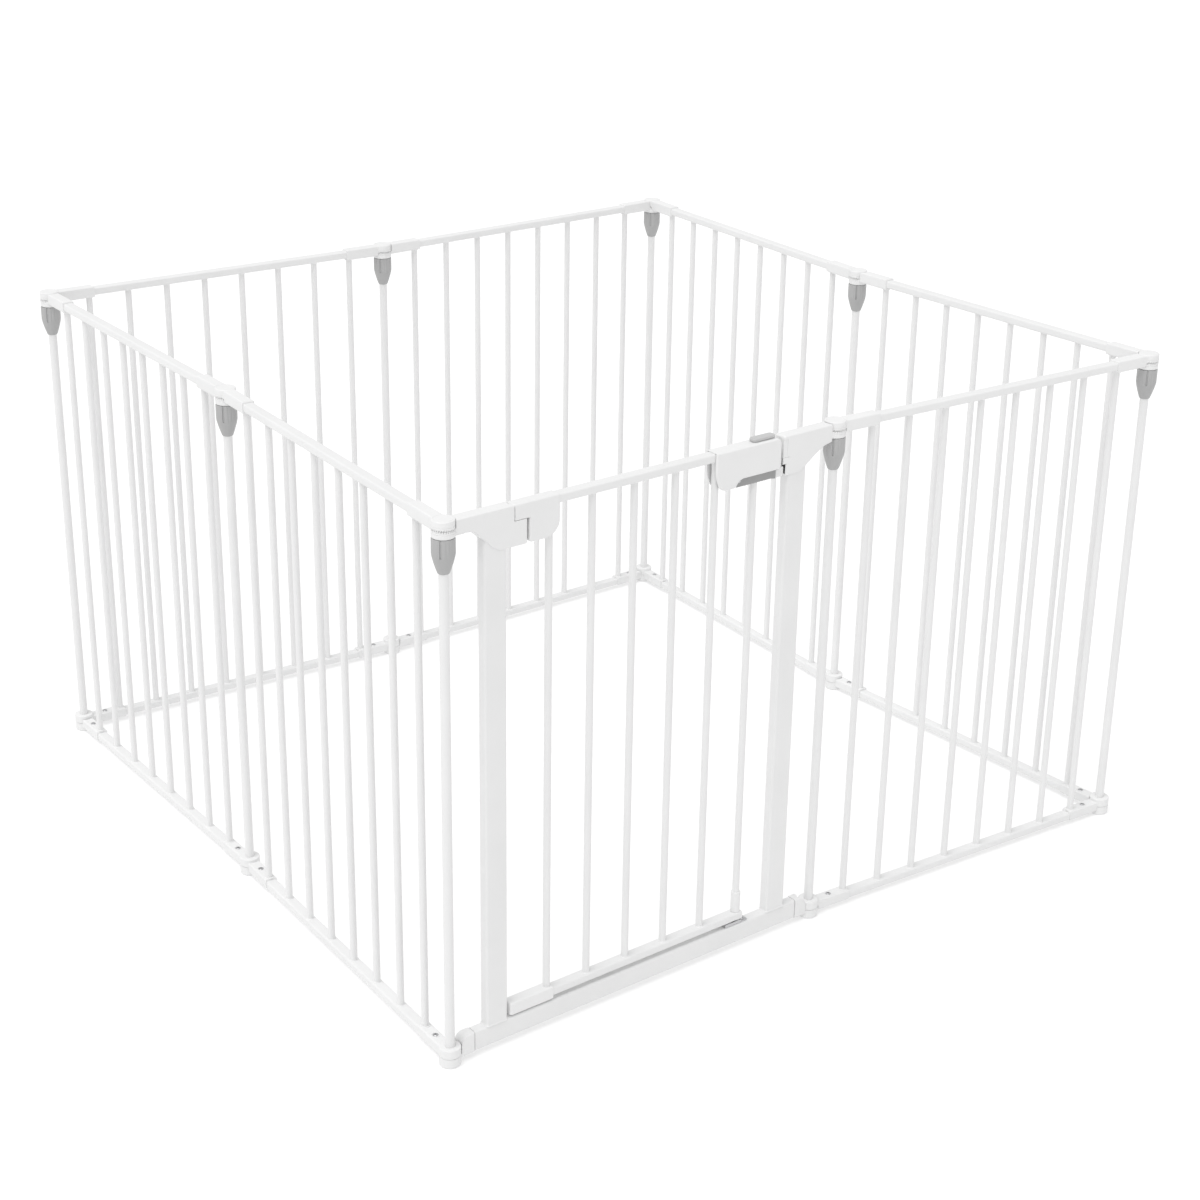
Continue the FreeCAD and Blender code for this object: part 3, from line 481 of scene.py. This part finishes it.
def corner(far_end, on_top, pitch):
    """Where a hinge end goes on a panel. At the top it is turned over."""
    over = Matrix.Rotation(math.pi if on_top else 0.0, 4, "X")
    about = Matrix.Rotation(math.pi if far_end else 0.0, 4, "Z")
    return at(pitch if far_end else 0.0, z=STACK_HIGH if on_top else STACK_LOW) @ about @ over


def screw_model():
    """A pan-head screw with a cross recess, seated at z = 0."""
    profile = [(4.0, -0.3), (4.0, 0.3), (3.7, 0.8), (3.0, 1.15), (2.0, 1.35), (1.0, 1.4)]
    blade = slab(box_outline(-2.5, -0.42, 2.5, 0.42, 0.2), 0.2, 3.0, steps=2)
    head = Model(lathe(profile, SMALL_SIDES))
    for degrees in (20, 110):
        head = carved(head, Model(blade, turned(degrees)))
    return head


SCREW = screw_model()
HINGE_ENDS = {(closed, upper): hinge_end(closed, upper) for closed, upper in
              ((True, False), (False, True), (False, False), (True, True))}


# ---- panels -----------------------------------------------------------------------------------

def post_places():
    """The eight post axes, anticlockwise from the gate's hinge side, from the collars' joints."""
    joints = {joint["name"]: joint for joint in frame["joints"]}
    return [Vector(joints[f"collar_{number}_turn"]["pos_m"]) / MM for number in range(1, 9)]


POSTS = post_places()


def panel_place(number):
    """A panel's frame and its pitch."""
    start, end = POSTS[number - 1], POSTS[number % 8]
    span = (end - start).to_2d()
    turn = Matrix.Rotation(math.atan2(span.y, span.x), 4, "Z")
    return Matrix.Translation((start.x, start.y, 0)) @ turn, span.length


def barred_panel(number):
    """One of the seven barred panels. An odd one has the lower hub of each pair, and its posts."""
    place, pitch = panel_place(number)
    name = f"panel_{number}"
    odd = number % 2 == 1
    body = Model()
    for span in (LOW_RAIL, HIGH_RAIL):
        rail(body, RAIL_START, pitch - RAIL_START, span)
    bars(body, BARS, LOW_RAIL[1], HIGH_RAIL[0])
    show(name + "_frame", body, place)
    screws = Model()
    for on_top, node in ((False, "_foot_hinge_ends"), (True, "_top_hinge_ends")):
        ends = Model()
        for far_end in (False, True):
            seat = corner(far_end, on_top, pitch)
            ends.merge(HINGE_ENDS[odd != on_top, on_top], seat)
            # No two neighbouring screws are driven to the same angle
            driven = Matrix.Rotation(0.9 * number + 1.7 * far_end + on_top, 4, "Z")
            screws.merge(SCREW, seat @ at(SCREW_AT, z=ARM_OVER[on_top]) @ driven)
        show(name + node, ends, place)
    show(name + "_screws", screws, place)
    if odd:
        post_pair(name + "_posts", place, pitch)


# ---- lock collars -----------------------------------------------------------------------------

COLLAR_FOOT = 700.0
COLLAR_TAPER = 26.0   # the height where the taper ends and the straight part starts
COLLAR_TIP = 7.6
COLLAR_STEPS = 144
COLLAR_TURN = 221.0   # degrees
BORE_SIDE = 9.0       # points nearer to the axis than this are left as they are
FLUTES, FLUTE_DEPTH, FLUTES_FROM, FLUTES_FADE = 18, 0.4, 20.0, 6.0
SLOTS, SLOT_DEPTH, SLOTS_FROM = (0, 84), 1.4, 22.6


def collar_shape(radius, z, index):
    """Grip flutes on the straight part, and deep slots from the top edge."""
    if radius < BORE_SIDE or z < FLUTES_FROM:
        return radius
    half = COLLAR_STEPS // 2
    for middle in SLOTS:
        from_slot = (index - middle + half) % COLLAR_STEPS - half
        if abs(from_slot) <= 1 and z > SLOTS_FROM:
            return radius - SLOT_DEPTH
    depth = FLUTE_DEPTH * min(1.0, max(0.0, (z - FLUTES_FROM) / FLUTES_FADE))
    flute = 0.5 - 0.5 * math.cos(2 * math.pi * index * FLUTES / COLLAR_STEPS)
    return radius - depth * flute ** 3


def lock_collar(number):
    """A tapered clamp nut on its post."""
    profile = [(6.2, 0.0), (7.1, 0.0), (COLLAR_TIP, 0.4)]
    for z in (1.4, 4.0, 7.0, 10.0, 13.0, 16.0, 19.0, 21.0, 22.5, 22.7, 24.0, COLLAR_TAPER):
        widening = 1 - (1 - z / COLLAR_TAPER) ** 1.3
        profile.append((COLLAR_TIP + (HUB - COLLAR_TIP) * widening, z))
    profile += [(15.0, 36.0), (15.0, 45.4), (14.6, 46.2), (13.8, 46.6), (13.0, 46.6), (6.2, 46.6)]
    collar = Model(lathe(profile, COLLAR_STEPS, collar_shape))
    axis = POSTS[number - 1]
    show(f"lock_collar_{number}", collar, at(axis.x, axis.y, COLLAR_FOOT) @ turned(COLLAR_TURN))


# ---- gate -------------------------------------------------------------------------------------

GATE, GATE_PITCH = panel_place(1)
KNUCKLE, KNUCKLE_CLEAR, KNUCKLE_STEPS = 12.2, 14.0, 16
CATCH_CLEAR = HUB_CLEAR + 0.9
SILL_RADIUS = 3.2
BRACKET_DEEP = 9.5  # half of the brackets' depth, where their screws sit
CUT_LOW, CUT_HIGH = 700.0, 780.0  # a cutter's ends, outside the brackets


def knuckle_outline(start, half):
    """An outline in plan that ends round the hinge axis."""
    turn = math.degrees(math.asin(half / KNUCKLE))
    end = arc((HINGE, 0), KNUCKLE, -turn, turn, KNUCKLE_STEPS)
    return [(start, half, 0), (start, -half, 0)] + end


def plate(corners, half, edge=2.5, steps=FINE_STEPS):
    """A moulding with its outline seen from the front, rounded on both faces."""
    return Model(slab(corners, -half, half, edge, edge, steps), FRONTAL)


def cylinder(x, radius, low, high):
    """A cutting tool round an upright axis."""
    return Model(lathe([(radius, low), (radius, high)], HUB_SIDES), at(x))


def gate_frame():
    """Sill and jambs with weld fillets at the jambs' feet."""
    body = Model()
    rail(body, SILL_START, GATE_PITCH - SILL_START, SILL, radius=SILL_RADIUS, edge=0.35)
    levels = [(-1.3, 38.4), (-1.3, 39.1), (-0.6, 39.7), (-0.2, 40.6), (0.0, 42.0), (0.0, 752.0)]
    for start, end in JAMBS:
        outline = box_outline(start, -JAMB_HALF, end, JAMB_HALF, SILL_RADIUS)
        body.add([[(*point, z) for point in inset(outline, depth)] for depth, z in levels])
    show("gate_frame", body, GATE)


def gate_foot():
    """A foot with a cup under the post and a shouldered arm up to the sill's full height."""
    # (height, radius of the hollow round the hub, half width)
    levels = [(-6.0, 15.7, 6.8), (-5.7, 15.7, 8.0), (-4.8, 15.7, 8.8), (-3.5, 15.7, 9.0),
              (11.0, 15.7, 9.0), (14.0, 16.3, 9.0), (17.5, 17.8, 9.0), (20.5, 20.0, 9.0),
              (22.6, 22.7, 8.6), (23.6, 25.2, 7.9), (24.0, 27.6, 6.8)]
    rings = []
    for z, radius, half in levels:
        turn = math.degrees(math.asin(ARM_HALF / radius))
        hollow = arc((0, 0), radius, turn, -turn, HOLLOW_STEPS)
        ring = [(x, y * half / ARM_HALF, z) for x, y, _ in hollow]
        ring += [(33.0, -half, z), (33.6, 0.6 - half, z), (33.6, half - 0.6, z), (33.0, half, z)]
        rings.append(ring)
    neck = Model(slab(neck_outline(24.0, ARM_HALF - OVERLAP), -5.9, -ARM_GAP, low_edge=2.0))
    foot = fused(Model(rings), neck, hub(True, False))
    plug = box_outline(-6.6, -4.6, 6.6, 22.6, 2.4)
    foot.add(slab(plug, 30.0, 50.0), ALONG)
    return foot


def bracket_hub(far_end):
    """A bracket's hub and the neck that joins it below the split plane."""
    place = corner(far_end, True, GATE_PITCH)
    neck = slab(neck_outline(26.0, 9.3), ARM_GAP, 10.4, high_edge=2.3)
    return Model(neck, place), hub(False, True, place)


def hinge_bracket():
    """The cover over the hinge jamb's head, with the fixed lower knuckle, and the hinge pin."""
    outline = [(8, 768, 0), (8, 750.5, 0), (38, 746.5, 14), (51, 735, 16), (65, 720.5, 16),
               (76, 713.8, 12), (90, 713.5, 0), (99, 713.5, 0), (99, 768, 1.2)]
    body = carved(plate(outline, BRACKET_DEEP, 1.8), cylinder(0.0, HUB_CLEAR, CUT_LOW, CUT_HIGH),
                  cylinder(HINGE, KNUCKLE_CLEAR, 745.4, CUT_HIGH))
    knuckle = Model(slab(knuckle_outline(80, 9.4), 713.6, 746.5, 1.8, 0.8))
    show("gate_hinge_bracket", fused(body, knuckle, *bracket_hub(False)), GATE)
    pin = [(3.4, 720.0), (4.0, 720.6), (4.0, 763.4), (3.4, 764.0)]
    show("upper_hinge_pin", Model(lathe(pin, SMALL_SIDES), at(HINGE)), GATE)


def catch_bracket():
    """The cover over the latch jamb's head, with the pocket for the hook."""
    outline = [(549, 737, 0), (549, 711.5, 0), (569, 711.5, 12), (580, 718, 16), (597, 730.3, 24),
               (612, 739.5, 16), (632, 743.5, 0), (632, 768, 0), (539, 768, 3.5), (539, 737, 0)]
    band = box_outline(537, 738, 546, 763)
    body = carved(plate(outline, BRACKET_DEEP), Model(slab(band, 8.8, 12.0), FRONTAL),
                  cylinder(GATE_PITCH, CATCH_CLEAR, CUT_LOW, CUT_HIGH))
    wall = [(544.5, 711.6, 0), (558, 711.6, 0), (558, 737.7, 0), (539.1, 737.7, 0),
            (539.1, 728, 0), (544.5, 728, 0)]
    lip = Model(slab(wall, 7.0, 9.4, high_edge=2.0), FRONTAL)
    show("gate_catch_bracket", fused(body, lip, *bracket_hub(True)), GATE)


def gate_screws():
    """Screws on the inner side of the brackets, and the one in the sill stop."""
    model = Model()
    for index, (x, z) in enumerate(((73, 725), (73, 742), (567, 723), (567, 740))):
        driven = Matrix.Rotation(0.8 * index, 4, "Z")
        model.merge(SCREW, at(x, BRACKET_DEEP, z) @ INWARD @ driven)
    model.merge(SCREW, at(508.5, z=40.2))
    show("gate_screws", model, GATE)


def sill_stop():
    """The pressed plate with its turned-up lip."""
    model = Model(slab([(472, -7, 1), (515, -7, 4), (515, 8, 4), (472, 8, 4)], 39.0, 40.2,
                       high_edge=0.4))
    lip = [(472, 39.2, 0.5), (502, 39.2, 0.5), (502, 44, 2.5), (472, 44, 2.5)]
    model.add(slab(lip, 5.8, 7.0, 0.4, 0.4), FRONTAL)
    show("gate_sill_stop", model, GATE)


def gate():
    """Everything of the gate that the door turns on."""
    gate_frame()
    feet, foot = Model(), gate_foot()
    for far_end in (False, True):
        feet.merge(foot, corner(far_end, False, GATE_PITCH))
    show("gate_foot_hinge_ends", feet, GATE)
    post_pair("gate_posts", GATE, GATE_PITCH)
    hinge_bracket()
    catch_bracket()
    gate_screws()
    sill_stop()


# ---- door -------------------------------------------------------------------------------------

FOOT_PIN = 495.0


def door_frame():
    """Two rails and six bars."""
    body = Model()
    rail(body, 130.0, 505.0, HIGH_RAIL)
    rail(body, 116.0, 503.0, DOOR_RAIL, edge=1.0)
    bars(body, DOOR_BARS, DOOR_RAIL[1], HIGH_RAIL[0])
    show("door_frame", body, GATE)


def door_mouldings():
    """The hinge cover with its screw, the shoe with its pin, and the foot sleeve with its peg."""
    outline = [(122, 768, 0), (122, 713.5, 4), (169, 713.5, 22), (169, 768, 3)]
    knuckle = [(2 * HINGE - x, -y, r) for x, y, r in knuckle_outline(2 * HINGE - 136, 8.9)]
    head = Model(slab(knuckle, 746.9, 767.9, 0.8, 2.5))
    show("door_hinge_cover", fused(plate(outline, 9.0, 2.5, 12), head), GATE)
    block = [(92, -9, 3.5), (164.5, -9, 2.4), (164.5, 9, 2.4), (92, 9, 3.5)]
    show("door_hinge_shoe", Model(slab(block, 42.4, 60.5, 0.8, 2.2)), GATE)
    pin = [(3.2, 33.0), (4.0, 34.0), (4.0, 54.6), (3.4, 55.0)]
    show("lower_hinge_pin", Model(lathe(pin, SMALL_SIDES), at(HINGE)), GATE)
    sleeve = [(6.0, 57.3), (6.75, 57.9), (6.75, 88.9), (6.4, 89.7), (5.7, 90.0), (5.2, 90.0)]
    foot = Model(lathe(sleeve, POST_SIDES), at(FOOT_PIN))
    peg = [(3.3, 41.4), (4.1, 41.8), (4.5, 42.6), (4.5, 58.0)]
    foot.add(lathe(peg, SMALL_SIDES), at(FOOT_PIN))
    show("door_foot_pin", foot, GATE)
    screw = Model()
    screw.merge(SCREW, at(143, 9.0, 730) @ INWARD)
    show("door_screws", screw, GATE)


# ---- latch ------------------------------------------------------------------------------------

def housing_half(node, side):
    """Half of the latch housing: a shell that is open round the rail and over the lever."""
    skin = [(420.5, 768, 2), (420.5, 736, 40), (429, 713.6, 14), (455, 713.6, 5), (461, 722, 5),
            (468, 724.2, 4), (534, 724.2, 2), (534, 768, 9)]
    core = [(420.5, 768, 0), (420.5, 767.2, 0), (429, 767.2, 0), (429, 747, 0), (526, 747, 0),
            (526, 724.2, 0), (534, 724.2, 2), (534, 768, 9)]
    shell = Model(slab(skin, 8.4, 11.5, 0.3, 2.8, FINE_STEPS), FRONTAL)
    inside = Model(slab(core, 0.0, 9.0, low_edge=0.25, steps=FINE_STEPS), FRONTAL)
    hook_slot = Model(slab(box_outline(516, 720, 540, 736), -1.0, 6.8), FRONTAL)
    half = Model()
    half.merge(carved(fused(shell, inside), hook_slot), Matrix.Scale(side, 4, (0, 1, 0)))
    show(node, half, GATE)


def lever():
    """The squeeze lever: a grip with ridges under the housing and a tail that shows beside it."""
    grip = [(458.5, 712.5, 2.2), (519, 712.5, 5), (528, 710.8, 2), (528, 727, 2), (463, 727, 4),
            (457.3, 720, 3)]
    body = plate(grip, 8.0, 1.6)
    for index in range(8):
        left = 474.0 + 5 * index
        body.add(slab(box_outline(left, 712, left + 2, 714), -6.5, 6.5, 0.3, 0.3), FRONTAL)
    tail = [(434.5, 744, 3), (434.5, 722, 6), (441, 717, 6), (464, 716.5, 0), (464, 744, 0)]
    body.add(slab(tail, -7.9, 7.9, 0.8, 0.8), FRONTAL)
    show("latch_squeeze_lever", body, GATE)


def button():
    """The safety button: a long cap on a thinner neck, and its stem."""
    cap = box_outline(488, -6.5, 527, 6.5, 5)
    body = Model(slab(cap, 769.4, 773.0, 0.2, 1.4, FINE_STEPS))
    body.add([[(*point, z) for point in inset(cap, 0.9, FINE_STEPS)]
              for z in (768.3, 770.0)])
    stem = box_outline(514, -3, 521, 3, 1)
    body.add(slab(stem, 743.0, 769.0, low_edge=0.5))
    light = moulding("light_grey_moulding", 0.50, 0.42, spread=0.03)
    show("latch_slide_button", body, GATE, light)


def spring():
    """The lever's coil spring."""
    turns, steps, sides = 6, 20, 8
    wire, coil = 0.5, 3.2
    low, high = 724.5, 746.5
    rings = []
    for index in range(turns * steps + 1):
        turn = 2 * math.pi * index / steps
        outward = Vector((math.cos(turn), math.sin(turn), 0))
        rise = low + (high - low) * index / (turns * steps)
        centre = Vector((coil * math.cos(turn), coil * math.sin(turn), rise))
        angles = [2 * math.pi * side / sides for side in range(sides)]
        rings.append([centre + outward * wire * math.cos(a) + Vector((0, 0, wire * math.sin(a)))
                      for a in angles])
    show("latch_spring", Model(rings, at(480)), GATE)


def latch():
    """Housing, lever, hook, pin, button and spring."""
    housing_half("latch_housing_front", 1)
    housing_half("latch_housing_back", -1)
    lever()
    nose = [(522, 711, 1.5), (541, 711, 2), (543, 714, 2), (543, 725, 1.5), (535, 725, 1.5),
            (533.5, 722.5, 1.5), (522, 722.5, 1.5)]
    show("latch_hook", plate(nose, 6.0, 1.2), GATE)
    pin = lathe([(1.7, -10.8), (2.0, -10.5), (2.0, 10.5), (1.7, 10.8)], PIN_SIDES)
    show("latch_lever_pin", Model(pin, at(461, z=722) @ FRONTAL), GATE)
    button()
    spring()


# ---- studio -----------------------------------------------------------------------------------

FLOOR_SIZE = 600.0  # metres, so that its edge is never seen
FLOOR_GLOW = 0.43
SKY_STRENGTH = 0.78
SUN_STRENGTH = 1.5
SUN_SPREAD = math.radians(40)
SUN_FROM = Vector((-0.42, -0.12, 1.0))
WHITE = (1.0, 1.0, 1.0, 1.0)

CAMERA_AIM = Vector((0.4576, 0.4975, 0.025))  # near the middle of the pen's floor
CAMERA_AZIMUTH = math.radians(-128.28)
CAMERA_ELEVATION = math.radians(22.95)
CAMERA_ROLL = math.radians(0.893)
CAMERA_DISTANCE = 4.3873
CAMERA_LENS, CAMERA_SENSOR = 68.12, 36.0


def studio():
    """A pale floor, a soft even sky and a broad light from above on the left."""
    bpy.ops.mesh.primitive_grid_add(x_subdivisions=4, y_subdivisions=4, size=FLOOR_SIZE,
                                    location=(0, 0, 0))
    floor = bpy.context.object
    floor.name = "studio_floor"
    paint = surface("floor_paint", (0.55, 0.55, 0.55), 0.75, grain=60.0, bump=0.01, spread=0.005)
    shader = paint.node_tree.nodes["Principled BSDF"]
    shader.inputs["Emission Color"].default_value = WHITE
    shader.inputs["Emission Strength"].default_value = FLOOR_GLOW
    floor.data.materials.append(paint)
    world = bpy.data.worlds.new("studio_sky")
    bpy.context.scene.world = world
    world.use_nodes = True
    sky = world.node_tree.nodes["Background"]
    sky.inputs["Color"].default_value = WHITE
    sky.inputs["Strength"].default_value = SKY_STRENGTH
    lamp = bpy.data.lights.new("key_light", "SUN")
    lamp.energy = SUN_STRENGTH
    lamp.angle = SUN_SPREAD
    key = bpy.data.objects.new("key_light", lamp)
    bpy.context.scene.collection.objects.link(key)
    key.rotation_euler = SUN_FROM.to_track_quat("Z", "Y").to_euler()
    bpy.context.scene.view_settings.view_transform = "Standard"


def camera():
    """The camera, on a sphere round its aim."""
    level = math.cos(CAMERA_ELEVATION)
    outward = Vector((level * math.cos(CAMERA_AZIMUTH), level * math.sin(CAMERA_AZIMUTH),
                      math.sin(CAMERA_ELEVATION)))
    lens = bpy.data.cameras.new("camera")
    lens.lens = CAMERA_LENS
    lens.sensor_width = CAMERA_SENSOR
    view = bpy.data.objects.new("camera", lens)
    bpy.context.scene.collection.objects.link(view)
    roll = Matrix.Rotation(CAMERA_ROLL, 4, "Z")
    turn = outward.to_track_quat("Z", "Y").to_matrix().to_4x4() @ roll
    view.matrix_world = Matrix.Translation(CAMERA_AIM + outward * CAMERA_DISTANCE) @ turn
    bpy.context.scene.camera = view


camera()
studio()
gate()
door_frame()
door_mouldings()
latch()
for panel in range(2, 9):
    barred_panel(panel)
for collar in range(1, 9):
    lock_collar(collar)
